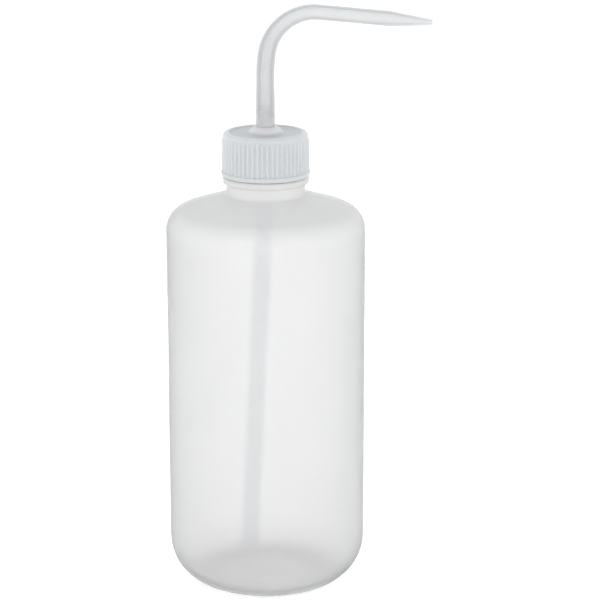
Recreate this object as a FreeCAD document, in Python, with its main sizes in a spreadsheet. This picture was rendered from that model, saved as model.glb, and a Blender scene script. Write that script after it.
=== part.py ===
import FreeCAD, Part
import math
import os
import re

import Sketcher

# Laboratory wash bottle, 500 ml size: a blow-moulded squeeze bottle, a ribbed
# screw closure, a bent delivery stem with a drawn-out tip, a draw tube that
# reaches the bottom, and the washer that seals the stem's flange on the lip.
# Frame: origin on the bottle's axis in the plane that it stands on, +Z up,
# +X towards the spout. Millimetres.

DIMENSIONS = [
    # Bottle: barrel, base and shoulder.
    ("body_rad", 36.8, "outer radius of the barrel"),
    ("wall", 1.3, "wall of the barrel and shoulder"),
    ("base_wall", 1.8, "wall of the base and heel"),
    ("plateau_rad", 13.0, "radius of the raised middle of the base"),
    ("base_rise", 1.6, "height of the raised middle of the base"),
    ("ring_inner_rad", 20.5, "inner radius of the ring it stands on"),
    ("ring_outer_rad", 27.13, "where the heel's slope would meet the floor"),
    ("ring_round", 8.0, "rounding from the ring into the heel"),
    ("heel_angle", 35.0, "slope of the heel, in degrees"),
    ("heel_round", 17.5, "rounding from the heel into the barrel"),
    ("shoulder_height", 141.1, "where the barrel would meet the shoulder's slope"),
    ("shoulder_angle", 18.0, "slope of the shoulder, in degrees"),
    ("shoulder_round", 8.5, "rounding from the barrel into the shoulder"),
    # Bottle: neck and threaded finish.
    ("neck_rad", 14.55, "outer radius of the neck under the bead"),
    ("neck_wall", 1.5, "wall of the neck under the bead"),
    ("bead_rad", 16.0, "radius of the bead"),
    ("bead_height", 152.2, "underside of the bead"),
    ("bead_top", 155.0, "top of the bead"),
    ("bead_round", 1.3, "rounding of the bead"),
    ("finish_rad", 12.6, "root radius of the outside thread"),
    ("finish_bore_rad", 10.9, "bore radius of the threaded finish"),
    ("lip_height", 167.4, "height of the lip"),
    # Thread: six turns to the inch, right hand.
    ("lead", 4.2333, "lead of the thread"),
    ("thread_crest_rad", 13.75, "crest radius of the bottle's thread"),
    ("thread_crest_width", 0.9, "crest width of both threads"),
    ("thread_angle", 30.0, "flank angle of both threads, in degrees"),
    ("thread_start", 158.9, "height of the middle of the bottle's thread at its start"),
    ("bottle_turns", 1.5, "turns of the bottle's thread"),
    ("closure_turns", 1.25, "turns of the closure's thread"),
    ("thread_play", 0.35, "axial clearance under the bottle's thread"),
    # Closure.
    ("closure_foot", 155.2, "height of the closure's lower edge"),
    ("closure_top", 171.3, "height of the closure's rim"),
    ("rim_drop", 0.5, "depth of the top face below the rim"),
    ("rim_width", 1.9, "width of the rim round the top face"),
    ("rim_round", 1.5, "rounding of the top edge"),
    ("skirt_top_rad", 15.6, "radius of the skirt between the ribs, at the top"),
    ("skirt_foot_rad", 15.8, "radius of the skirt between the ribs, at the foot"),
    ("band_rad", 16.3, "radius of the plain band at the foot"),
    ("band_top", 156.8, "height of the top of the plain band"),
    ("skirt_bore_rad", 14.1, "bore radius of the skirt"),
    ("skirt_crest_rad", 12.9, "crest radius of the closure's thread"),
    ("ceiling", 169.6, "underside of the closure's top"),
    ("collar_foot_rad", 7.0, "foot radius of the collar round the stem"),
    ("collar_top_rad", 4.2, "top radius of the collar round the stem"),
    ("collar_top", 173.3, "height of the collar"),
    ("stem_hole_rad", 3.55, "radius of the hole that the stem turns in"),
    ("rib_count", 54, "grip ribs round the skirt"),
    ("rib_top", 169.4, "height of the top of the ribs"),
    ("rib_width", 0.8, "width of a rib"),
    ("rib_proud", 0.3, "height of a rib above the skirt"),
    # Washer between the lip and the stem's flange.
    ("washer_rad", 13.7, "outer radius of the washer"),
    ("washer_hole_rad", 9.6, "radius of the washer's hole"),
    ("washer_thick", 0.9, "thickness of the washer"),
    ("seat_gap", 0.05, "gap between the lip, the washer and the flange"),
    # Delivery stem.
    ("flange_rad", 12.4, "radius of the stem's flange"),
    ("flange_thick", 1.1, "thickness of the flange"),
    ("socket_rad", 4.7, "outer radius of the socket under the flange"),
    ("socket_foot", 156.5, "height of the lower end of the socket"),
    ("socket_stop", 166.5, "height at which the draw tube stops in the socket"),
    ("column_foot_rad", 3.5, "stem radius in the closure"),
    ("column_step", 183.0, "height at which the stem starts to narrow"),
    ("column_neck", 188.0, "height at which it has narrowed"),
    ("column_rad", 3.33, "stem radius below the bend"),
    ("column_top", 191.5, "height at which the stem starts to bend"),
    ("sweep_rad", 60.0, "radius of the first, gentle part of the bend"),
    ("sweep_angle", 8.0, "turn of the gentle part, in degrees"),
    ("bend_rad", 17.5, "radius of the main bend"),
    ("spout_rad", 2.78, "stem radius after the bend"),
    ("spout_droop", 5.2, "slope of the spout below level, in degrees"),
    ("spout_run", 25.2, "length from the bend to the start of the tip"),
    ("tip_run", 15.9, "length of the drawn-out tip"),
    ("tip_rad", 1.15, "outer radius of the tip's end"),
    ("tip_round", 0.5, "rounding of the tip's end"),
    ("channel_rad", 2.0, "radius of the channel in the stem"),
    ("jet_rad", 0.55, "radius of the jet in the tip"),
    ("jet_run", 2.5, "length of the jet"),
    # Draw tube.
    ("tube_rad", 3.2, "outer radius of the draw tube"),
    ("tube_bore_rad", 2.2, "bore radius of the draw tube"),
    ("tube_fit", 0.03, "radial clearance of the draw tube in its socket"),
    ("tube_straight", 10.0, "length of tube held straight by the socket"),
    ("tube_sweep_rad", 100.0, "radius at which it leans away from the axis"),
    ("tube_lean", 2.6, "lean of the tube from upright, in degrees"),
    ("tube_foot", 9.6, "height of the draw tube's open end"),
]

NODES = ["bottle", "closure", "delivery_stem", "draw_tube", "seal_washer"]
ALIASES = {alias for alias, value, meaning in DIMENSIONS}
ORIGIN_POINT = (-1, 1)
HORIZONTAL_AXIS = -1
VERTICAL_AXIS = -2
START, END, CENTRE = 1, 2, 3

doc = FreeCAD.newDocument("wash_bottle")


# --- Spreadsheet and expressions -------------------------------------------

def make_sizes():
    """The driving dimensions, one row each, named by alias."""
    sheet = doc.addObject("Spreadsheet::Sheet", "sizes")
    for row, (alias, value, meaning) in enumerate(DIMENSIONS, start=1):
        sheet.set(f"A{row}", meaning)
        sheet.set(f"B{row}", str(value))
        sheet.setAlias(f"B{row}", alias)
    doc.recompute()
    return sheet


def bound(expression):
    """An expression in bare aliases, written for use outside the sheet."""
    def qualify(match):
        word = match.group()
        return f"sizes.{word}" if word in ALIASES else word
    return re.sub(r"[a-z_]+", qualify, expression)


def number(expression):
    """The value that an expression has now."""
    value = sizes.evalExpression(bound(expression))
    return float(getattr(value, "Value", value))


# --- Sketches --------------------------------------------------------------

def make_body(name):
    body = doc.addObject("PartDesign::Body", name)
    body.Label = name
    body.Placement = FreeCAD.Placement()
    return body


def origin_feature(body, role):
    return next(f for f in body.Origin.OriginFeatures if f.Role == role)


def make_sketch(body, name, plane="XZ_Plane", height=None):
    """A sketch on one of the body's own origin planes, or above XY_Plane."""
    sketch = body.newObject("Sketcher::SketchObject", name)
    sketch.AttachmentSupport = [(origin_feature(body, plane), "")]
    sketch.MapMode = "FlatFace"
    if height is not None:
        sketch.setExpression("AttachmentOffset.Base.z", bound(height))
    return sketch


def hold(sketch, kind, geometry, point, expression):
    """A distance from the sketch's origin, or a place on its axis at zero."""
    if expression == "0":
        axis = VERTICAL_AXIS if kind == "DistanceX" else HORIZONTAL_AXIS
        sketch.addConstraint(Sketcher.Constraint("PointOnObject", geometry, point, axis))
        return
    measure = Sketcher.Constraint(kind, *ORIGIN_POINT, geometry, point, number(expression))
    index = sketch.addConstraint(measure)
    sketch.setExpression(f"Constraints[{index}]", bound(expression))


def round_off(before, corner, after, radius):
    """Tangent points and arc of a rounded corner."""
    to_before = (before - corner).normalize()
    to_after = (after - corner).normalize()
    half = to_before.getAngle(to_after) / 2
    reach = radius / math.tan(half)
    centre = corner + (to_before + to_after).normalize() * (radius / math.sin(half))
    entry, leave = corner + to_before * reach, corner + to_after * reach
    middle = centre + (corner - centre).normalize() * radius
    return entry, leave, Part.Arc(entry, middle, leave)


def outline(sketch, corners):
    """A closed outline through corners (x, y) or (x, y, rounding)."""
    places = [FreeCAD.Vector(number(c[0]), number(c[1]), 0) for c in corners]
    count = len(corners)
    arrivals, departures, arcs = list(places), list(places), {}
    for k, corner in enumerate(corners):
        if len(corner) == 3:
            arrivals[k], departures[k], arcs[k] = round_off(
                places[k - 1], places[k], places[(k + 1) % count], number(corner[2]))
    lines = [sketch.addGeometry(Part.LineSegment(departures[k], arrivals[(k + 1) % count]), False)
             for k in range(count)]
    for k, corner in enumerate(corners):
        if k in arcs:
            join_round(sketch, lines[k - 1], lines[k], arcs[k], places[k], corner)
        else:
            sketch.addConstraint(
                Sketcher.Constraint("Coincident", lines[k - 1], END, lines[k], START))
            hold(sketch, "DistanceX", lines[k], START, corner[0])
            hold(sketch, "DistanceY", lines[k], START, corner[1])


def join_round(sketch, line_in, line_out, arc, place, corner):
    """A tangent arc between two lines whose corner stays a dimensioned point."""
    arc_index = sketch.addGeometry(arc, False)
    shape = sketch.Geometry[arc_index]
    arrival = sketch.getPoint(line_in, END)
    starts_first = (sketch.getPoint(arc_index, START) - arrival).Length < 1e-6
    first, second = (START, END) if starts_first else (END, START)
    sketch.addConstraint([
        Sketcher.Constraint("Tangent", line_in, END, arc_index, first),
        Sketcher.Constraint("Tangent", arc_index, second, line_out, START),
    ])
    radius = sketch.addConstraint(Sketcher.Constraint("Radius", arc_index, shape.Radius))
    sketch.setExpression(f"Constraints[{radius}]", bound(corner[2]))
    point = sketch.addGeometry(Part.Point(place), True)
    for line in (line_in, line_out):
        sketch.addConstraint(Sketcher.Constraint("PointOnObject", point, START, line))
    hold(sketch, "DistanceX", point, START, corner[0])
    hold(sketch, "DistanceY", point, START, corner[1])


def circle(sketch, radius, centre_x="0", centre_y="0"):
    place = FreeCAD.Vector(number(centre_x), number(centre_y), 0)
    up = FreeCAD.Vector(0, 0, 1)
    index = sketch.addGeometry(Part.Circle(place, up, number(radius)), False)
    hold(sketch, "DistanceX", index, CENTRE, centre_x)
    hold(sketch, "DistanceY", index, CENTRE, centre_y)
    size = sketch.addConstraint(Sketcher.Constraint("Radius", index, number(radius)))
    sketch.setExpression(f"Constraints[{size}]", bound(radius))


# --- Features --------------------------------------------------------------

def finish_feature(body, feature):
    feature.Refine = True
    body.Tip = feature
    doc.recompute()


def turn(body, name, sketch, kind="PartDesign::Revolution", axis=None):
    """A full revolution or groove about the body's Z axis, or another one."""
    feature = body.newObject(kind, name)
    feature.Profile = sketch
    feature.ReferenceAxis = axis or (origin_feature(body, "Z_Axis"), [""])
    feature.Angle = 360
    finish_feature(body, feature)


def pipe(body, name, spine, sections, kind="PartDesign::AdditivePipe"):
    """A sweep along a spine sketch through one or more section sketches."""
    feature = body.newObject(kind, name)
    feature.Profile = sections[0]
    feature.Spine = (spine, [])
    feature.Mode = "Frenet"
    if len(sections) > 1:
        feature.Transformation = "Multisection"
        feature.Sections = [(section, [""]) for section in sections[1:]]
    finish_feature(body, feature)


def thread_ridge(body, name, sketch, turns):
    """A right-hand helical ridge about the body's Z axis."""
    ridge = body.newObject("PartDesign::AdditiveHelix", name)
    ridge.Profile = sketch
    ridge.ReferenceAxis = (origin_feature(body, "Z_Axis"), [""])
    ridge.Mode = "pitch-turns-angle"
    ridge.setExpression("Pitch", bound("lead"))
    ridge.setExpression("Turns", bound(turns))
    finish_feature(body, ridge)


def ridge_section(body, name, root, crest, sink, middle):
    """A thread's section: flat crest, sloping flanks, root sunk in the wall."""
    sketch = make_sketch(body, name)
    spread = f"abs({crest} - {root}) * tan(thread_angle * 1 deg)"
    half_crest = "thread_crest_width / 2"
    outline(sketch, [
        (sink, f"{middle} - {half_crest} - {spread}"),
        (root, f"{middle} - {half_crest} - {spread}"),
        (crest, f"{middle} - {half_crest}"),
        (crest, f"{middle} + {half_crest}"),
        (root, f"{middle} + {half_crest} + {spread}"),
        (sink, f"{middle} + {half_crest} + {spread}"),
    ])
    return sketch


# --- Bottle ----------------------------------------------------------------

def make_bottle():
    body = make_body("bottle")
    slope = "tan(shoulder_angle * 1 deg)"
    heel = "tan(heel_angle * 1 deg)"
    mitre = "tan(45 deg - shoulder_angle / 2 * 1 deg)"
    throat = "neck_rad - neck_wall"
    wall_rad = "body_rad - wall"
    shoulder_in = f"shoulder_height - wall * {mitre}"
    heel_rise = (f"(body_rad - ring_outer_rad) * {heel} + (base_wall"
                 " - wall * sin(heel_angle * 1 deg)) / cos(heel_angle * 1 deg)")
    profile = make_sketch(body, "bottle_profile")
    outline(profile, [
        ("0", "base_rise"),
        ("plateau_rad", "base_rise", "ring_round"),
        ("ring_inner_rad", "0", "ring_round"),
        ("ring_outer_rad", "0", "ring_round"),
        ("body_rad", f"(body_rad - ring_outer_rad) * {heel}", "heel_round"),
        ("body_rad", "shoulder_height", "shoulder_round"),
        ("neck_rad", f"shoulder_height + (body_rad - neck_rad) * {slope}", "wall"),
        ("neck_rad", "bead_height"),
        ("bead_rad", "bead_height", "bead_round"),
        ("bead_rad", "bead_top", "bead_round"),
        ("finish_rad", "bead_top", "wall / 2"),
        ("finish_rad", "lip_height", "wall / 2"),
        ("finish_bore_rad", "lip_height", "wall / 2"),
        ("finish_bore_rad", "bead_top", "base_wall"),
        (throat, "bead_height", "base_wall"),
        (throat, f"{shoulder_in} + ({wall_rad} - {throat}) * {slope}", "base_wall"),
        (wall_rad, shoulder_in, "shoulder_round - wall"),
        (wall_rad, heel_rise, "heel_round - wall"),
        ("ring_outer_rad - base_wall * tan(heel_angle / 2 * 1 deg)", "base_wall",
         "ring_round - base_wall"),
        ("ring_inner_rad", "base_wall", "ring_round"),
        ("plateau_rad", "base_rise + base_wall", "ring_round"),
        ("0", "base_rise + base_wall"),
    ])
    turn(body, "bottle_wall", profile)
    section = ridge_section(body, "bottle_thread_section", "finish_rad",
                            "thread_crest_rad", "finish_rad - wall / 4", "thread_start")
    thread_ridge(body, "bottle_thread", section, "bottle_turns")


# --- Closure and washer ----------------------------------------------------

def make_closure():
    body = make_body("closure")
    face = "closure_top - rim_drop"
    profile = make_sketch(body, "closure_profile")
    outline(profile, [
        ("stem_hole_rad", "ceiling"),
        ("stem_hole_rad", "collar_top"),
        ("collar_top_rad", "collar_top", "rim_drop / 2"),
        ("collar_foot_rad", face, "rim_round"),
        ("skirt_top_rad - rim_width - rim_drop", face, "rim_drop / 2"),
        ("skirt_top_rad - rim_width", "closure_top", "rim_drop / 2"),
        ("skirt_top_rad", "closure_top", "rim_round"),
        ("skirt_foot_rad", "band_top", "rim_drop"),
        ("band_rad", "band_top", "rim_drop / 2"),
        ("band_rad", "closure_foot", "rim_drop"),
        ("skirt_bore_rad", "closure_foot", "rim_drop"),
        ("skirt_bore_rad", "ceiling", "rim_drop"),
    ])
    turn(body, "closure_shell", profile)
    overlap = "(thread_crest_rad - skirt_crest_rad) * tan(thread_angle * 1 deg)"
    middle = f"thread_start - thread_crest_width - thread_play - {overlap}"
    section = ridge_section(body, "closure_thread_section", "skirt_bore_rad",
                            "skirt_crest_rad", "skirt_bore_rad + wall / 4", middle)
    thread_ridge(body, "closure_thread", section, "closure_turns")
    add_ribs(body)


def add_ribs(body):
    """Fine upright grip ribs, leaning in with the skirt's draft."""
    section = make_sketch(body, "rib_section", "XY_Plane", "band_top - rim_drop")
    root = "skirt_foot_rad - wall / 2"
    crest = "skirt_foot_rad + rib_proud"
    outline(section, [
        (root, "0 - rib_width / 2"),
        (crest, "0 - rib_width / 2", "rib_width / 4"),
        (crest, "rib_width / 2", "rib_width / 4"),
        (root, "rib_width / 2"),
    ])
    rib = body.newObject("PartDesign::Pad", "rib")
    rib.Profile = section
    rib.setExpression("Length", bound("rib_top - band_top + rim_drop"))
    rib.UseCustomVector = True
    draft = number("(skirt_foot_rad - skirt_top_rad) / (closure_top - band_top)")
    rib.Direction = FreeCAD.Vector(-draft, 0, 1)
    finish_feature(body, rib)
    ring = body.newObject("PartDesign::PolarPattern", "rib_ring")
    ring.Originals = [rib]
    ring.Axis = (origin_feature(body, "Z_Axis"), [""])
    ring.Angle = 360
    ring.setExpression("Occurrences", bound("rib_count"))
    finish_feature(body, ring)


def make_seal_washer():
    body = make_body("seal_washer")
    sketch = make_sketch(body, "washer_rings", "XY_Plane", "lip_height + seat_gap")
    circle(sketch, "washer_rad")
    circle(sketch, "washer_hole_rad")
    pad = body.newObject("PartDesign::Pad", "washer")
    pad.Profile = sketch
    pad.setExpression("Length", bound("washer_thick"))
    finish_feature(body, pad)


# --- Delivery stem ---------------------------------------------------------

BEND_END_X = ("sweep_rad * (1 - cos(sweep_angle * 1 deg))"
              " + bend_rad * (cos(sweep_angle * 1 deg) + sin(spout_droop * 1 deg))")
SWEEP_END_Z = "column_top + sweep_rad * sin(sweep_angle * 1 deg)"
BEND_END_Z = f"{SWEEP_END_Z} + bend_rad * (cos(spout_droop * 1 deg) - sin(sweep_angle * 1 deg))"


def bend_edges(sketch):
    """Centre line of the bend: a gentle arc off the column, then the main one."""
    up = FreeCAD.Vector(0, 0, 1)
    sweep, bend = number("sweep_rad"), number("bend_rad")
    gentle_turn = math.radians(number("sweep_angle"))
    whole_turn = math.radians(90 + number("spout_droop"))
    sweep_centre = FreeCAD.Vector(sweep, number("column_top"), 0)
    inward = FreeCAD.Vector(-math.cos(gentle_turn), math.sin(gentle_turn), 0)
    bend_centre = sweep_centre + inward * (sweep - bend)
    gentle = sketch.addGeometry(Part.ArcOfCircle(
        Part.Circle(sweep_centre, up, sweep), math.pi - gentle_turn, math.pi), False)
    main = sketch.addGeometry(Part.ArcOfCircle(
        Part.Circle(bend_centre, up, bend), math.pi - whole_turn, math.pi - gentle_turn), False)
    hold(sketch, "DistanceX", gentle, CENTRE, "sweep_rad")
    hold(sketch, "DistanceY", gentle, CENTRE, "column_top")
    hold(sketch, "DistanceX", gentle, END, "0")
    hold(sketch, "DistanceY", gentle, END, "column_top")
    hold(sketch, "DistanceY", gentle, START, SWEEP_END_Z)
    sketch.addConstraint(Sketcher.Constraint("Tangent", gentle, START, main, END))
    radius = sketch.addConstraint(Sketcher.Constraint("Radius", main, bend))
    sketch.setExpression(f"Constraints[{radius}]", bound("bend_rad"))
    hold(sketch, "DistanceX", main, START, BEND_END_X)
    doc.recompute()


def lay_along_spout(sketch, axis):
    """Tilt a sketch about one of its own axes by the spout's slope."""
    tilt = FreeCAD.Rotation(axis, number("spout_droop"))
    sketch.AttachmentOffset = FreeCAD.Placement(FreeCAD.Vector(), tilt)
    sketch.setExpression("AttachmentOffset.Rotation.Angle", bound("spout_droop * 1 deg"))


def spout_sketch(body, name):
    """An upright sketch whose own X axis runs along the spout."""
    sketch = make_sketch(body, name)
    lay_along_spout(sketch, FreeCAD.Vector(0, 0, -1))
    sketch.setExpression("AttachmentOffset.Base.x", bound(BEND_END_X))
    sketch.setExpression("AttachmentOffset.Base.y", bound(BEND_END_Z))
    doc.recompute()
    return sketch


def square_section(body, name, radius):
    """A circle at the bend's end, square to the spout."""
    sketch = make_sketch(body, name, "YZ_Plane")
    lay_along_spout(sketch, FreeCAD.Vector(1, 0, 0))
    sketch.setExpression("AttachmentOffset.Base.y", bound(BEND_END_Z))
    sketch.setExpression("AttachmentOffset.Base.z", bound(BEND_END_X))
    circle(sketch, radius)
    doc.recompute()
    return sketch


def make_delivery_stem():
    body = make_body("delivery_stem")
    flange_foot = "lip_height + washer_thick + 2 * seat_gap"
    flange_top = f"{flange_foot} + flange_thick"
    column = make_sketch(body, "column_profile")
    outline(column, [
        ("0", "socket_foot"),
        ("socket_rad", "socket_foot", "tip_round"),
        ("socket_rad", flange_foot, "tip_round"),
        ("flange_rad", flange_foot, "flange_thick / 4"),
        ("flange_rad", flange_top, "flange_thick / 4"),
        ("column_foot_rad", flange_top),
        ("column_foot_rad", "column_step"),
        ("column_rad", "column_neck"),
        ("column_rad", "column_top"),
        ("0", "column_top"),
    ])
    turn(body, "column", column)

    route = make_sketch(body, "bend_route")
    bend_edges(route)
    bend_start = make_sketch(body, "bend_start", "XY_Plane", "column_top")
    circle(bend_start, "column_rad")
    bend_end = square_section(body, "bend_end", "spout_rad")
    pipe(body, "bend", route, [bend_start, bend_end])

    spout = spout_sketch(body, "spout_profile")
    tip_end = "spout_run + tip_run"
    outline(spout, [
        ("0", "0"),
        ("0", "spout_rad"),
        ("spout_run", "spout_rad"),
        (tip_end, "tip_rad", "tip_round"),
        (tip_end, "0"),
    ])
    turn(body, "spout", spout, axis=(spout, ["H_Axis"]))

    bore = make_sketch(body, "column_bore_profile")
    outline(bore, [
        ("0", "socket_foot"),
        ("tube_rad + tube_fit", "socket_foot"),
        ("tube_rad + tube_fit", "socket_stop"),
        ("channel_rad", "socket_stop"),
        ("channel_rad", "column_top"),
        ("0", "column_top"),
    ])
    turn(body, "column_bore", bore, "PartDesign::Groove")
    channel_start = make_sketch(body, "channel_start", "XY_Plane", "column_top")
    circle(channel_start, "channel_rad")
    channel_end = square_section(body, "channel_end", "channel_rad")
    pipe(body, "bend_bore", route, [channel_start, channel_end], "PartDesign::SubtractivePipe")
    jet = spout_sketch(body, "spout_bore_profile")
    outline(jet, [
        ("0", "0"),
        ("0", "channel_rad"),
        ("spout_run", "channel_rad"),
        (f"{tip_end} - jet_run", "jet_rad"),
        (tip_end, "jet_rad"),
        (tip_end, "0"),
    ])
    turn(body, "spout_bore", jet, "PartDesign::Groove", axis=(jet, ["H_Axis"]))


# --- Draw tube -------------------------------------------------------------

def tube_edges(sketch):
    """Upright in the socket, then a long arc into a straight lean towards -X."""
    lean = math.radians(number("tube_lean"))
    sweep = number("tube_sweep_rad")
    straight_foot = number("socket_stop - tube_straight")
    top = FreeCAD.Vector(0, number("socket_stop"), 0)
    arc_top = FreeCAD.Vector(0, straight_foot, 0)
    centre = FreeCAD.Vector(-sweep, straight_foot, 0)
    arc_foot = centre + FreeCAD.Vector(math.cos(lean), -math.sin(lean), 0) * sweep
    drop = arc_foot.y - number("tube_foot")
    foot = arc_foot + FreeCAD.Vector(-math.tan(lean), -1, 0) * drop
    straight = sketch.addGeometry(Part.LineSegment(top, arc_top), False)
    arc = sketch.addGeometry(Part.ArcOfCircle(
        Part.Circle(centre, FreeCAD.Vector(0, 0, 1), sweep), -lean, 0), False)
    leaning = sketch.addGeometry(Part.LineSegment(arc_foot, foot), False)
    hold(sketch, "DistanceX", straight, START, "0")
    hold(sketch, "DistanceY", straight, START, "socket_stop")
    hold(sketch, "DistanceX", straight, END, "0")
    hold(sketch, "DistanceY", straight, END, "socket_stop - tube_straight")
    sketch.addConstraint(Sketcher.Constraint("Tangent", straight, END, arc, END))
    sketch.addConstraint(Sketcher.Constraint("Tangent", arc, START, leaning, START))
    radius = sketch.addConstraint(Sketcher.Constraint("Radius", arc, sweep))
    sketch.setExpression(f"Constraints[{radius}]", bound("tube_sweep_rad"))
    slope = sketch.addConstraint(Sketcher.Constraint("Angle", leaning, -math.pi / 2 - lean))
    sketch.setExpression(f"Constraints[{slope}]", bound("(-90 - tube_lean) * 1 deg"))
    hold(sketch, "DistanceY", leaning, END, "tube_foot")
    doc.recompute()


def make_draw_tube():
    body = make_body("draw_tube")
    route = make_sketch(body, "tube_route")
    tube_edges(route)
    ring = make_sketch(body, "tube_section", "XY_Plane", "socket_stop")
    circle(ring, "tube_rad")
    circle(ring, "tube_bore_rad")
    pipe(body, "tube", route, [ring])


# --- Build, check and write ------------------------------------------------

def check_document():
    for item in doc.Objects:
        faults = {"Invalid", "Error"} & set(item.State)
        if faults:
            raise RuntimeError(f"{item.Name}: {item.State} {item.getStatusString()}")


def write_parts():
    os.makedirs("parts", exist_ok=True)
    for name in NODES:
        shape = doc.getObject(name).Shape
        if shape.isNull() or not shape.isValid() or len(shape.Solids) != 1:
            raise RuntimeError(f"{name}: not one valid solid")
        shape.exportStep(os.path.join("parts", f"{name}.step"))
        print(f"{name}: {shape.Volume / 1000:.2f} cm3, {shape.BoundBox}")


sizes = make_sizes()
for build in (make_bottle, make_closure, make_seal_washer, make_delivery_stem, make_draw_tube):
    build()
doc.recompute()
check_document()
write_parts()
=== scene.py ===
import math

import bmesh
import bpy
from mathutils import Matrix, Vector, noise


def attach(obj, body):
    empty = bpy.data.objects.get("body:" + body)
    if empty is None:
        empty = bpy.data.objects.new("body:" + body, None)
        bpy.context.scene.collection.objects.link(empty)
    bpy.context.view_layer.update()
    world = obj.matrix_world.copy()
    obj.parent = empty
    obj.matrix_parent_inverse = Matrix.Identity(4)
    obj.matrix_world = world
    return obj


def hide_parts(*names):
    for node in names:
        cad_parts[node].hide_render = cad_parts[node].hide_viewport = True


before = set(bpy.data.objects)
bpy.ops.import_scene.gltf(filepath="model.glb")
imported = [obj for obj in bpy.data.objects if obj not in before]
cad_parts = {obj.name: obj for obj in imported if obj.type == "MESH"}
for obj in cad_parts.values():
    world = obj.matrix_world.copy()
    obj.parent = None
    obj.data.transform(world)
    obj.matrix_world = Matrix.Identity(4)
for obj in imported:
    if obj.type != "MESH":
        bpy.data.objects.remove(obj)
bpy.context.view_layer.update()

MM = 0.001

# Sizes repeated from the design, in millimetres: heights are above the base
# plane and radii are about the bottle's axis.
BODY_RAD, WALL, BASE_WALL = 36.8, 1.3, 1.8
BASE_RISE, PLATEAU_RAD = 1.6, 13.0
RING_INNER, RING_OUTER, RING_ROUND = 20.5, 27.13, 8.0
HEEL_ANGLE, HEEL_ROUND = 35.0, 17.5
SHOULDER, SHOULDER_ANGLE, SHOULDER_ROUND = 141.1, 18.0, 8.5
NECK_RAD, NECK_WALL = 14.55, 1.5
BEAD_RAD, BEAD_FOOT, BEAD_TOP, BEAD_ROUND = 16.0, 152.2, 155.0, 1.3
FINISH_RAD, FINISH_BORE, LIP = 12.6, 10.9, 167.4
LEAD, THREAD_START, BOTTLE_TURNS, CLOSURE_TURNS = 4.2333, 158.9, 1.5, 1.25
THREAD_CREST, SKIRT_CREST, CREST_WIDTH, THREAD_PLAY = 13.75, 12.9, 0.9, 0.35
FLANK = math.tan(math.radians(30))
CLOSURE_FOOT, CLOSURE_TOP, CEILING = 155.2, 171.3, 169.6
SKIRT_TOP_RAD, SKIRT_FOOT_RAD, SKIRT_BORE = 15.6, 15.8, 14.1
BAND_RAD, BAND_TOP = 16.3, 156.8
RIM_DROP, RIM_WIDTH, RIM_ROUND = 0.5, 1.9, 1.5
COLLAR_FOOT_RAD, COLLAR_TOP_RAD, COLLAR_TOP, STEM_HOLE = 7.0, 4.2, 173.3, 3.55
RIBS, RIB_TOP, RIB_WIDTH, RIB_PROUD = 54, 169.4, 0.8, 0.3
FLANGE_FOOT, FLANGE_TOP, FLANGE_RAD = 168.4, 169.5, 12.4
SOCKET_RAD, SOCKET_FOOT, SOCKET_STOP = 4.7, 156.5, 166.5
COLUMN_FOOT_RAD, COLUMN_STEP, COLUMN_NECK = 3.5, 183.0, 188.0
COLUMN_RAD, COLUMN_TOP = 3.33, 191.5
SWEEP_RAD, SWEEP_ANGLE, BEND_RAD = 60.0, 8.0, 17.5
SPOUT_RAD, SPOUT_DROOP, SPOUT_RUN, TIP_RUN = 2.78, 5.2, 25.2, 15.9
TIP_RAD, TIP_ROUND, CHANNEL_RAD, JET_RAD, JET_RUN = 1.15, 0.5, 2.0, 0.55, 2.5
TUBE_RAD, TUBE_BORE, TUBE_FIT = 3.2, 2.2, 0.03
TUBE_STRAIGHT, TUBE_SWEEP, TUBE_LEAN, TUBE_FOOT = 10.0, 100.0, 2.6, 9.6

# Sizes of the visible meshes alone: the wall's waviness, the soft edges of ribs
# and threads, and the number of segments round each piece.
WAVE_DEPTH, WAVE_WIDTH, WAVE_HEIGHT = 0.09, 1.6, 38
RIB_FLAT, RIB_EDGE, RIB_FADE = 0.14, 0.08, 0.9
FLANK_EDGE, THREAD_FADE = 0.1, 0.09
BOTTLE_SEGMENTS, CLOSURE_SEGMENTS, STEM_SEGMENTS, TUBE_SEGMENTS = 192, RIBS * 10, 64, 48


# --- Outlines --------------------------------------------------------------

def rounded(corners, step):
    """Points of an outline through corners (a, b) or (a, b, rounding)."""
    points = []
    count = len(corners)
    for k, corner in enumerate(corners):
        here = Vector(corner[:2])
        if len(corner) == 2:
            points.append(here)
            continue
        to_before = (Vector(corners[k - 1][:2]) - here).normalized()
        to_after = (Vector(corners[(k + 1) % count][:2]) - here).normalized()
        half = to_before.angle(to_after) / 2
        centre = here + (to_before + to_after).normalized() * (corner[2] / math.sin(half))
        entry = here + to_before * (corner[2] / math.tan(half)) - centre
        leave = here + to_after * (corner[2] / math.tan(half)) - centre
        turn = entry.angle_signed(leave)
        pieces = max(2, round(math.degrees(abs(turn)) / step))
        for i in range(pieces + 1):
            angle = -turn * i / pieces
            points.append(centre + Vector((
                entry.x * math.cos(angle) - entry.y * math.sin(angle),
                entry.x * math.sin(angle) + entry.y * math.cos(angle))))
    return points


def divided(points, closed, longest):
    """The same outline with no run longer than longest."""
    result = []
    ends = points[1:] + points[:1] if closed else points[1:]
    for here, there in zip(points, ends):
        pieces = max(1, math.ceil((there - here).length / longest))
        result += [here.lerp(there, i / pieces) for i in range(pieces)]
    return result if closed else result + points[-1:]


# --- Meshes ----------------------------------------------------------------

def upright(radius, along, angle):
    """Place on a body of revolution about the bottle's axis."""
    return Vector((radius * math.cos(angle), radius * math.sin(angle), along))


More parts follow.
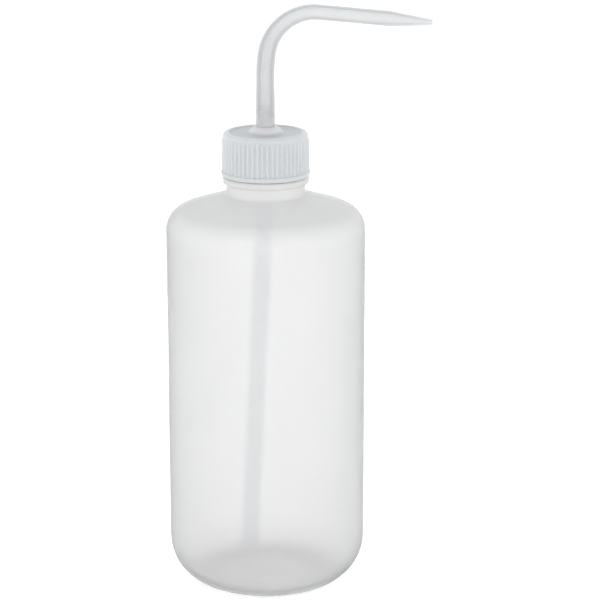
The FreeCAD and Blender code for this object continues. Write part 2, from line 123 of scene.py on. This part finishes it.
def skin(name, outline, segments, place=upright, closed=True):
    """A smooth closed mesh: an outline (radius, along) carried round an axis."""
    rows, vertices, faces = [], [], []
    for radius, along in outline:
        if not closed and radius < 1e-6:
            rows.append([len(vertices)] * segments)
            vertices.append(place(0.0, along, 0.0) * MM)
            continue
        rows.append(list(range(len(vertices), len(vertices) + segments)))
        for k in range(segments):
            vertices.append(place(radius, along, 2 * math.pi * k / segments) * MM)
    following = rows[1:] + rows[:1] if closed else rows[1:]
    for row, after in zip(rows, following):
        for k in range(segments):
            ring = [row[k], row[(k + 1) % segments], after[(k + 1) % segments], after[k]]
            face = list(dict.fromkeys(ring))
            if len(face) > 2:
                faces.append(face)
    mesh = bpy.data.meshes.new(name)
    mesh.from_pydata(vertices, [], faces)
    facing = bmesh.new()
    facing.from_mesh(mesh)
    bmesh.ops.recalc_face_normals(facing, faces=facing.faces)
    facing.to_mesh(mesh)
    facing.free()
    mesh.shade_smooth()
    piece = bpy.data.objects.new(name, mesh)
    bpy.context.scene.collection.objects.link(piece)
    return piece


def stand_for(piece, node, body, material):
    piece.data.materials.append(material)
    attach(piece, body)
    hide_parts(node)


def smooth_step(low, high, value):
    share = min(1.0, max(0.0, (value - low) / (high - low)))
    return share * share * (3 - 2 * share)


def ridge(angle, along, start, turns, root, crest):
    """Height of a thread's ridge at a place, fading out at its two ends."""
    height = abs(crest - root)
    best = 0.0
    for lap in range(math.ceil(turns)):
        turned = angle / (2 * math.pi) + lap
        if turned > turns:
            continue
        off = abs(along - start - LEAD * turned)
        flat = CREST_WIDTH / 2
        share = 1 - smooth_step(flat - FLANK_EDGE, flat + height * FLANK + FLANK_EDGE, off)
        fade = smooth_step(0, THREAD_FADE, turned) * smooth_step(0, THREAD_FADE, turns - turned)
        best = max(best, share * fade)
    return best * height


# --- Bottle ----------------------------------------------------------------

def bottle_outline():
    slope = math.tan(math.radians(SHOULDER_ANGLE))
    heel = math.radians(HEEL_ANGLE)
    mitre = math.tan(math.radians(45 - SHOULDER_ANGLE / 2))
    throat = NECK_RAD - NECK_WALL
    inside = BODY_RAD - WALL
    shoulder_in = SHOULDER - WALL * mitre
    heel_in = ((BODY_RAD - RING_OUTER) * math.tan(heel)
               + (BASE_WALL - WALL * math.sin(heel)) / math.cos(heel))
    return rounded([
        (0, BASE_RISE),
        (PLATEAU_RAD, BASE_RISE, RING_ROUND),
        (RING_INNER, 0, RING_ROUND),
        (RING_OUTER, 0, RING_ROUND),
        (BODY_RAD, (BODY_RAD - RING_OUTER) * math.tan(heel), HEEL_ROUND),
        (BODY_RAD, SHOULDER, SHOULDER_ROUND),
        (NECK_RAD, SHOULDER + (BODY_RAD - NECK_RAD) * slope, WALL),
        (NECK_RAD, BEAD_FOOT, 0.1),
        (BEAD_RAD, BEAD_FOOT, BEAD_ROUND),
        (BEAD_RAD, BEAD_TOP, BEAD_ROUND),
        (FINISH_RAD, BEAD_TOP, WALL / 2),
        (FINISH_RAD, LIP, WALL / 2),
        (FINISH_BORE, LIP, WALL / 2),
        (FINISH_BORE, BEAD_TOP, BASE_WALL),
        (throat, BEAD_FOOT, BASE_WALL),
        (throat, shoulder_in + (inside - throat) * slope, BASE_WALL),
        (inside, shoulder_in, SHOULDER_ROUND - WALL),
        (inside, heel_in, HEEL_ROUND - WALL),
        (RING_OUTER - BASE_WALL * math.tan(heel / 2), BASE_WALL, RING_ROUND - BASE_WALL),
        (RING_INNER, BASE_WALL, RING_ROUND),
        (PLATEAU_RAD, BASE_RISE + BASE_WALL, RING_ROUND),
        (0, BASE_RISE + BASE_WALL),
    ], step=5)


def refined(points, low, high, longest):
    """Runs between two heights divided more finely than the rest."""
    result = []
    for here, there in zip(points, points[1:]):
        inside = low <= min(here.y, there.y) and max(here.y, there.y) <= high
        pieces = max(1, math.ceil((there - here).length / longest)) if inside else 1
        result += [here.lerp(there, i / pieces) for i in range(pieces)]
    return result + points[-1:]


def bottle_place(radius, along, angle):
    """The blow-moulded wall: hardly visible waviness, and the thread."""
    if radius > FINISH_RAD - 0.01 and along > BEAD_TOP + 0.5:
        radius += ridge(angle, along, THREAD_START, BOTTLE_TURNS, FINISH_RAD, THREAD_CREST)
    if radius > BODY_RAD - 2:
        x, y = math.cos(angle), math.sin(angle)
        wave = noise.noise(Vector((WAVE_WIDTH * x, WAVE_WIDTH * y, along / WAVE_HEIGHT)))
        radius -= WAVE_DEPTH * (1 + wave)
    return upright(radius, along, angle)


def make_bottle(material):
    points = divided(bottle_outline(), False, 6.0)
    points = refined(points, BEAD_TOP, LIP, 0.22)
    piece = skin("bottle_shell", points, BOTTLE_SEGMENTS, bottle_place, closed=False)
    stand_for(piece, "bottle", "bottle", material)


# --- Closure ---------------------------------------------------------------

def closure_outline():
    face = CLOSURE_TOP - RIM_DROP
    return rounded([
        (STEM_HOLE, CEILING, 0.15),
        (STEM_HOLE, COLLAR_TOP, 0.15),
        (COLLAR_TOP_RAD, COLLAR_TOP, 0.25),
        (COLLAR_FOOT_RAD, face, RIM_ROUND),
        (SKIRT_TOP_RAD - RIM_WIDTH - RIM_DROP, face, 0.25),
        (SKIRT_TOP_RAD - RIM_WIDTH, CLOSURE_TOP, 0.25),
        (SKIRT_TOP_RAD, CLOSURE_TOP, RIM_ROUND),
        (SKIRT_FOOT_RAD, BAND_TOP, 0.2),
        (BAND_RAD, BAND_TOP, 0.25),
        (BAND_RAD, CLOSURE_FOOT, 0.5),
        (SKIRT_BORE, CLOSURE_FOOT, 0.5),
        (SKIRT_BORE, CEILING, 0.5),
    ], step=10)


def closure_place(radius, along, angle):
    """Grip ribs on the outside of the skirt, and the thread on its inside."""
    if radius > SKIRT_TOP_RAD - 0.6 and BAND_TOP - 0.1 < along < CLOSURE_TOP:
        pitch = 2 * math.pi / RIBS
        off = abs((angle + pitch / 2) % pitch - pitch / 2) * SKIRT_FOOT_RAD
        share = 1 - smooth_step(RIB_FLAT, RIB_WIDTH / 2 + RIB_EDGE, off)
        share *= 1 - smooth_step(RIB_TOP - RIB_FADE, RIB_TOP, along)
        radius += RIB_PROUD * share
    if abs(radius - SKIRT_BORE) < 0.01 and CLOSURE_FOOT + 0.5 < along < CEILING - 0.5:
        start = (THREAD_START - CREST_WIDTH - THREAD_PLAY
                 - (THREAD_CREST - SKIRT_CREST) * FLANK)
        radius -= ridge(angle, along, start, CLOSURE_TURNS, SKIRT_BORE, SKIRT_CREST)
    return upright(radius, along, angle)


def make_closure(material):
    outline = closure_outline()
    points = refined(outline + outline[:1], CLOSURE_FOOT, CLOSURE_TOP, 0.45)[:-1]
    piece = skin("closure_shell", points, CLOSURE_SEGMENTS, closure_place)
    stand_for(piece, "closure", "closure", material)


# --- Delivery stem and draw tube -------------------------------------------

def heading(turned):
    """Direction of the stem's centre line after turning from upright."""
    return Vector((math.sin(turned), 0, math.cos(turned)))


def stem_line(along):
    """Place and direction on the stem's centre line, at a length along it."""
    gentle, whole = math.radians(SWEEP_ANGLE), math.radians(90 + SPOUT_DROOP)
    if along <= COLUMN_TOP:
        return Vector((0, 0, along)), heading(0)
    on = along - COLUMN_TOP
    start = Vector((0, 0, COLUMN_TOP))
    if on <= SWEEP_RAD * gentle:
        turned = on / SWEEP_RAD
        offset = Vector((1 - math.cos(turned), 0, math.sin(turned)))
        return start + offset * SWEEP_RAD, heading(turned)
    on -= SWEEP_RAD * gentle
    start += Vector((1 - math.cos(gentle), 0, math.sin(gentle))) * SWEEP_RAD
    turned = gentle + min(on / BEND_RAD, whole - gentle)
    offset = Vector((math.cos(gentle) - math.cos(turned), 0, math.sin(turned) - math.sin(gentle)))
    start += offset * BEND_RAD
    on -= BEND_RAD * (turned - gentle)
    return start + heading(turned) * on, heading(turned)


def tube_line(along):
    """The same for the draw tube, downwards from its stop in the socket."""
    lean = math.radians(TUBE_LEAN)
    top = Vector((0, 0, SOCKET_STOP))
    if along <= TUBE_STRAIGHT:
        return top - Vector((0, 0, along)), Vector((0, 0, -1))
    on = along - TUBE_STRAIGHT
    turned = min(on / TUBE_SWEEP, lean)
    start = top - Vector((0, 0, TUBE_STRAIGHT))
    start += Vector((math.cos(turned) - 1, 0, -math.sin(turned))) * TUBE_SWEEP
    direction = Vector((-math.sin(turned), 0, -math.cos(turned)))
    return start + direction * (on - TUBE_SWEEP * turned), direction


def along_line(line):
    """A place function that carries an outline along a line in the XZ plane."""
    def place(radius, along, angle):
        centre, direction = line(along)
        across = Vector((0, 1, 0)).cross(direction)
        return centre + (across * math.cos(angle) + Vector((0, 1, 0)) * math.sin(angle)) * radius
    return place


def stem_outline():
    gentle = SWEEP_RAD * math.radians(SWEEP_ANGLE)
    main = BEND_RAD * math.radians(90 + SPOUT_DROOP - SWEEP_ANGLE)
    bend_end = COLUMN_TOP + gentle + main
    tip = bend_end + SPOUT_RUN
    end = tip + TIP_RUN
    return rounded([
        (TUBE_RAD + TUBE_FIT, SOCKET_STOP, 0.1),
        (TUBE_RAD + TUBE_FIT, SOCKET_FOOT, 0.2),
        (SOCKET_RAD, SOCKET_FOOT, 0.5),
        (SOCKET_RAD, FLANGE_FOOT, 0.5),
        (FLANGE_RAD, FLANGE_FOOT, 0.25),
        (FLANGE_RAD, FLANGE_TOP, 0.25),
        (COLUMN_FOOT_RAD, FLANGE_TOP, 0.1),
        (COLUMN_FOOT_RAD, COLUMN_STEP, 30),
        (COLUMN_RAD, COLUMN_NECK, 30),
        (COLUMN_RAD, COLUMN_TOP + gentle),
        (SPOUT_RAD, bend_end),
        (SPOUT_RAD, tip, 12),
        (TIP_RAD, end, TIP_ROUND),
        (JET_RAD, end, 0.1),
        (JET_RAD, end - JET_RUN, 0.5),
        (CHANNEL_RAD, tip, 4),
        (CHANNEL_RAD, SOCKET_STOP, 0.1),
    ], step=12)


def make_stem(material):
    points = divided(stem_outline(), True, 1.2)
    piece = skin("stem_moulding", points, STEM_SEGMENTS, along_line(stem_line))
    stand_for(piece, "delivery_stem", "dispenser", material)


def make_tube(material):
    lean = math.radians(TUBE_LEAN)
    arc = TUBE_SWEEP * lean
    drop = SOCKET_STOP - TUBE_STRAIGHT - TUBE_SWEEP * math.sin(lean) - TUBE_FOOT
    length = TUBE_STRAIGHT + arc + drop / math.cos(lean)
    outline = rounded([
        (TUBE_RAD, 0, 0.2),
        (TUBE_RAD, length, 0.2),
        (TUBE_BORE, length, 0.2),
        (TUBE_BORE, 0, 0.2),
    ], step=30)
    points = divided(outline, True, 2.5)
    piece = skin("dip_pipe", points, TUBE_SEGMENTS, along_line(tube_line))
    stand_for(piece, "draw_tube", "dispenser", material)


# --- Materials -------------------------------------------------------------

# A see-through wall is given an IOR far below the plastic's own, so that it
# hardly bends the light, and a coat of about the plastic's IOR for its gloss.
WALL_IOR, COAT_IOR, COAT_WEIGHT, COAT_ROUGHNESS = 1.04, 1.5, 0.8, 0.22
ABSORBED = (0.5, 0.51, 0.52, 1)
CLOUD_LOW, CLOUD_HIGH = 0.3, 0.7

# Heights in metres between which a material changes, and its see-through shares; the collar's
# change is a painted lighter colour, that is painted light.
NECK_CLOUD, ROOT_CLOUD, COLLAR_PAINTED_LIGHT = (0.130, 0.152), (0.182, 0.1715), (0.1706, 0.1722)
BOTTLE_CLEAR, NECK_CLEAR = 0.88, 0.34
STEM_CLEAR, ROOT_CLEAR = 0.92, 0.4


class Nodes:
    """A material's node tree, with short calls for the nodes used here."""

    def __init__(self, name):
        self.material = bpy.data.materials.new(name)
        self.material.use_nodes = True
        self.tree = self.material.node_tree
        self.shader = self.tree.nodes["Principled BSDF"]
        self.place = self.tree.nodes.new("ShaderNodeTexCoord").outputs["Object"]

    def link(self, output, target):
        self.tree.links.new(output, target)

    def scaled(self, scale):
        mapping = self.tree.nodes.new("ShaderNodeMapping")
        mapping.inputs["Scale"].default_value = scale
        self.link(self.place, mapping.inputs["Vector"])
        return mapping.outputs["Vector"]

    def noise(self, scale, detail=2.0, roughness=0.5, stretch=(1, 1, 1)):
        texture = self.tree.nodes.new("ShaderNodeTexNoise")
        self.link(self.scaled(stretch), texture.inputs["Vector"])
        texture.inputs["Scale"].default_value = scale
        texture.inputs["Detail"].default_value = detail
        texture.inputs["Roughness"].default_value = roughness
        return texture.outputs["Fac"]

    def ranged(self, value, low, high):
        node = self.tree.nodes.new("ShaderNodeMapRange")
        node.inputs["From Min"].default_value = CLOUD_LOW
        node.inputs["From Max"].default_value = CLOUD_HIGH
        node.inputs["To Min"].default_value = low
        node.inputs["To Max"].default_value = high
        self.link(value, node.inputs["Value"])
        return node.outputs["Result"]

    def ramp(self, value, *stops):
        node = self.tree.nodes.new("ShaderNodeValToRGB")
        elements = node.color_ramp.elements
        while len(elements) < len(stops):
            elements.new(0.5)
        for element, (position, colour) in zip(elements, stops):
            element.position = position
            element.color = (*colour, 1)
        self.link(value, node.inputs["Fac"])
        return node.outputs["Color"]

    def bump(self, height, strength, distance, after=None):
        node = self.tree.nodes.new("ShaderNodeBump")
        node.inputs["Strength"].default_value = strength
        node.inputs["Distance"].default_value = distance
        self.link(height, node.inputs["Height"])
        if after is not None:
            self.link(after, node.inputs["Normal"])
        return node.outputs["Normal"]


def plastic(name, dark, light, rough, clear=0.0, milk=0.0, absorb=0.0, grain=0.000006,
            streak=0.0001):
    """Natural, unpigmented plastic: cloudy, faintly streaked and never quite even."""
    nodes = Nodes(name)
    shader = nodes.shader.inputs
    cloud = nodes.noise(45, 3.0, 0.55)
    flow = nodes.noise(90, 2.0, 0.5, stretch=(1, 1, 0.08))
    nodes.link(nodes.ramp(cloud, (CLOUD_LOW, dark), (CLOUD_HIGH, light)), shader["Base Color"])
    nodes.link(nodes.ranged(cloud, *rough), shader["Roughness"])
    wavy = nodes.bump(flow, 0.5, streak)
    nodes.link(nodes.bump(nodes.noise(1400, 2.0), 0.35, grain, wavy), shader["Normal"])
    shader["Transmission Weight"].default_value = clear
    if clear > 0:
        shader["IOR"].default_value = WALL_IOR
        shader["Coat Weight"].default_value = COAT_WEIGHT
        shader["Coat IOR"].default_value = COAT_IOR
        shader["Coat Roughness"].default_value = COAT_ROUGHNESS
    if milk > 0:
        shader["Subsurface Weight"].default_value = 1.0
        shader["Subsurface Radius"].default_value = (1, 1, 1)
        shader["Subsurface Scale"].default_value = milk
    if absorb > 0:
        absorber = nodes.tree.nodes.new("ShaderNodeVolumeAbsorption")
        absorber.inputs["Color"].default_value = ABSORBED
        absorber.inputs["Density"].default_value = absorb
        output = nodes.tree.nodes["Material Output"]
        nodes.link(absorber.outputs["Volume"], output.inputs["Volume"])
    return nodes.material


def height_share(tree, heights, low=0.0, high=1.0):
    """A value that goes smoothly from low to high between two heights."""
    place = tree.nodes.new("ShaderNodeTexCoord").outputs["Object"]
    split = tree.nodes.new("ShaderNodeSeparateXYZ")
    tree.links.new(place, split.inputs["Vector"])
    share = tree.nodes.new("ShaderNodeMapRange")
    share.interpolation_type = "SMOOTHSTEP"
    share.inputs["From Min"].default_value, share.inputs["From Max"].default_value = heights
    share.inputs["To Min"].default_value = low
    share.inputs["To Max"].default_value = high
    tree.links.new(split.outputs["Z"], share.inputs["Value"])
    return share.outputs["Result"]


def thicken(material, heights, clear, milky):
    """Less see-through from the first height to the second."""
    tree = material.node_tree
    weight = tree.nodes["Principled BSDF"].inputs["Transmission Weight"]
    tree.links.new(height_share(tree, heights, clear, milky), weight)


def paint_light_band(material, heights, colour):
    """Painted light: a lighter colour from the first height to the second, standing in for light
    on that band rather than a colour of the plastic.
    """
    tree = material.node_tree
    base = tree.nodes["Principled BSDF"].inputs["Base Color"]
    mix = tree.nodes.new("ShaderNodeMix")
    mix.data_type = "RGBA"
    factor, below, above = mix.inputs[0], mix.inputs[6], mix.inputs[7]
    above.default_value = (*colour, 1)
    tree.links.new(height_share(tree, heights), factor)
    tree.links.new(base.links[0].from_socket, below)
    tree.links.new(mix.outputs[2], base)


# --- Studio ----------------------------------------------------------------

SURROUND, OVERHEAD = 1.1, (0.5, 0.51, 0.53)
KEY_POWER, FILL_POWER = 1.5, 0.8
FLOOR_GLOW, FLOOR_HALF = 0.45, 6.0
LAMP_SIZE = 0.8
PATH_BOUNCES, DIFFUSE_BOUNCES = 32, 12


def make_stage():
    """A wide pale floor that runs out into the white surroundings."""
    mesh = bpy.data.meshes.new("floor")
    half = FLOOR_HALF
    mesh.from_pydata([(-half, -half, 0), (half, -half, 0), (half, half, 0), (-half, half, 0)],
                     [], [(0, 1, 2, 3)])
    floor = bpy.data.objects.new("floor", mesh)
    bpy.context.scene.collection.objects.link(floor)
    nodes = Nodes("floor_paper")
    fibre = nodes.noise(700, 2.0)
    nodes.link(nodes.ramp(fibre, (CLOUD_LOW, (0.93,) * 3), (CLOUD_HIGH, (0.95,) * 3)),
               nodes.shader.inputs["Base Color"])
    nodes.shader.inputs["Roughness"].default_value = 0.9
    nodes.shader.inputs["Specular IOR Level"].default_value = 0.1
    nodes.shader.inputs["Emission Color"].default_value = (1, 1, 1, 1)
    nodes.shader.inputs["Emission Strength"].default_value = FLOOR_GLOW
    floor.data.materials.append(nodes.material)


def area_light(name, place, target, power):
    light = bpy.data.lights.new(name, "AREA")
    light.shape = "RECTANGLE"
    light.size = light.size_y = LAMP_SIZE
    light.energy = power
    lamp = bpy.data.objects.new(name, light)
    lamp.location = place
    lamp.rotation_euler = (Vector(target) - Vector(place)).to_track_quat("-Z", "Y").to_euler()
    bpy.context.scene.collection.objects.link(lamp)


def make_world():
    """White at the horizon and dimmer overhead, as in a light tent on a white table."""
    world = bpy.data.worlds.new("surroundings")
    world.use_nodes = True
    tree = world.node_tree
    place = tree.nodes.new("ShaderNodeTexCoord").outputs["Generated"]
    split = tree.nodes.new("ShaderNodeSeparateXYZ")
    tree.links.new(place, split.inputs["Vector"])
    ramp = tree.nodes.new("ShaderNodeValToRGB")
    ramp.color_ramp.interpolation = "EASE"
    low, high = ramp.color_ramp.elements
    low.position, low.color = 0.2, (1, 1, 1, 1)
    high.position, high.color = 0.95, (*OVERHEAD, 1)
    tree.links.new(split.outputs["Z"], ramp.inputs["Fac"])
    background = tree.nodes["Background"]
    tree.links.new(ramp.outputs["Color"], background.inputs["Color"])
    background.inputs["Strength"].default_value = SURROUND
    bpy.context.scene.world = world


def make_lights():
    scene = bpy.context.scene
    scene.view_settings.view_transform = "Standard"
    scene.cycles.max_bounces = scene.cycles.transmission_bounces = PATH_BOUNCES
    scene.cycles.diffuse_bounces = DIFFUSE_BOUNCES
    middle = (0, 0, 0.1)
    area_light("key", (-0.5, -1.1, 0.9), middle, KEY_POWER)
    area_light("fill", (0.9, -0.9, 0.5), middle, FILL_POWER)


def make_camera():
    camera = bpy.data.cameras.new("camera")
    camera.lens, camera.sensor_width = 137.0, 36.0
    camera.clip_start = 0.01
    viewer = bpy.data.objects.new("camera", camera)
    place, target = Vector((0.0126, -0.8206, 0.329)), Vector((0.0126, 0, 0.1075))
    viewer.location = place
    viewer.rotation_euler = (target - place).to_track_quat("-Z", "Y").to_euler()
    bpy.context.scene.collection.objects.link(viewer)
    bpy.context.scene.camera = viewer


make_stage()
make_world()
make_lights()
make_camera()
ldpe = plastic("natural_ldpe", (0.955, 0.953, 0.945), (0.98, 0.978, 0.97), (0.5, 0.56),
               clear=BOTTLE_CLEAR, absorb=140, grain=0.000003)
thicken(ldpe, NECK_CLOUD, BOTTLE_CLEAR, NECK_CLEAR)
make_bottle(ldpe)
polypropylene = plastic("natural_pp", (0.61, 0.635, 0.645), (0.645, 0.665, 0.675), (0.3, 0.38),
                        milk=0.004, streak=0.00003)
# Painted light: the collar round the stem gets a lighter colour than the rest of the closure, to
# brighten its shading.
paint_light_band(polypropylene, COLLAR_PAINTED_LIGHT, (0.93, 0.94, 0.945))
make_closure(polypropylene)
stem = plastic("stem_pp", (0.95, 0.955, 0.955), (0.965, 0.97, 0.97), (0.16, 0.22),
               clear=STEM_CLEAR, absorb=300, streak=0.00002)
thicken(stem, ROOT_CLOUD, STEM_CLEAR, ROOT_CLEAR)
make_stem(stem)
make_tube(plastic("tube_ldpe", (0.95, 0.955, 0.965), (0.965, 0.97, 0.98), (0.2, 0.26),
                  clear=0.95, absorb=60, streak=0.00002))
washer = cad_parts["seal_washer"]
washer.data.materials.clear()
washer.data.materials.append(
    plastic("washer_foam", (0.9, 0.9, 0.88), (0.94, 0.94, 0.92), (0.6, 0.7), milk=0.003))
